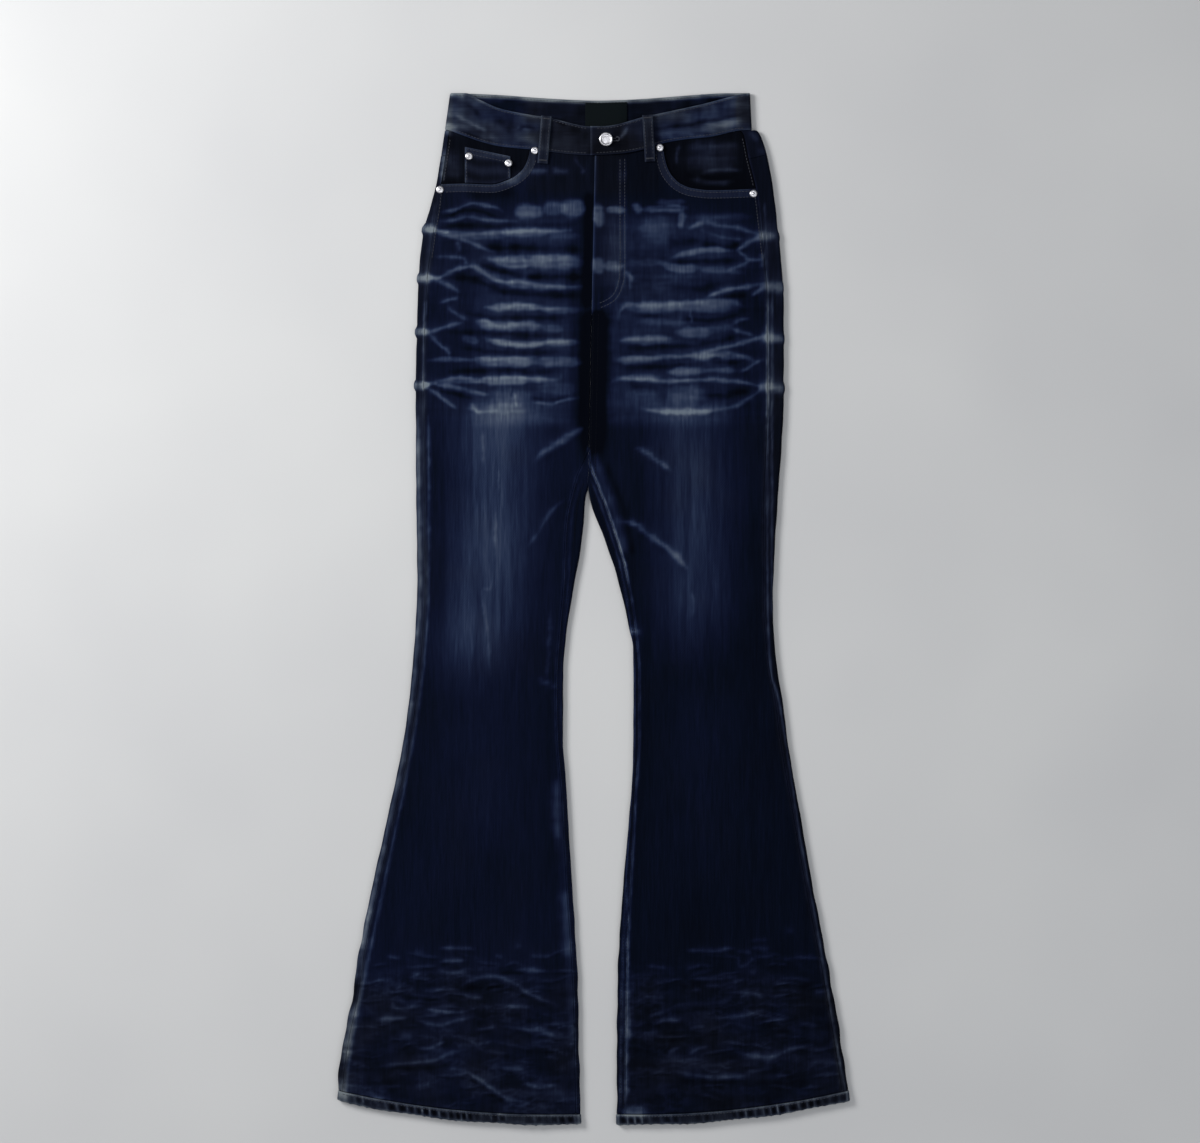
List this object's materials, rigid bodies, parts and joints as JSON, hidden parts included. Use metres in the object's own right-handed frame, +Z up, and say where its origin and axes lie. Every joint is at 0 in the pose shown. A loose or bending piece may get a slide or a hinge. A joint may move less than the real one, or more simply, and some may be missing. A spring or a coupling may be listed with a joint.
{
  "type": "flared jeans",
  "caption": "Dark washed denim flared jeans lying flat, with scooped front pockets, coin pocket, belt loops, button waistband and wide turned hems.",
  "frame": {"origin": "middle of the garment's outline, on the surface it lies on", "axes": "+Z up out of the front, +Y towards the waist, +X towards the wearer's left leg"},
  "size_m": [0.5656, 1.1366, 0.0133],
  "materials": {
    "denim": "dark indigo twill, washed",
    "facing_denim": "unwashed indigo twill",
    "label": "plain black woven patch",
    "metal": "satin nickel"
  },
  "bodies": {
    "root": {"front_left": "denim", "front_right": "denim", "back_left": "denim", "back_right": "denim", "yoke_left": "denim", "yoke_right": "denim", "waistband": "denim", "coin_pocket": "denim", "back_pocket_left": "denim", "back_pocket_right": "denim", "hem_left": "denim", "hem_right": "denim", "loop_front_left": "denim", "loop_front_right": "denim", "loop_side_left": "denim", "loop_side_right": "denim", "loop_centre_back": "denim", "pocket_facing_left": "facing_denim", "pocket_facing_right": "facing_denim", "inside_label": "label", "waist_button": "metal", "rivet_coin_outer": "metal", "rivet_coin_inner": "metal", "rivet_right_corner": "metal", "rivet_right_side": "metal", "rivet_left_corner": "metal", "rivet_left_side": "metal"}
  },
  "joints": []
}
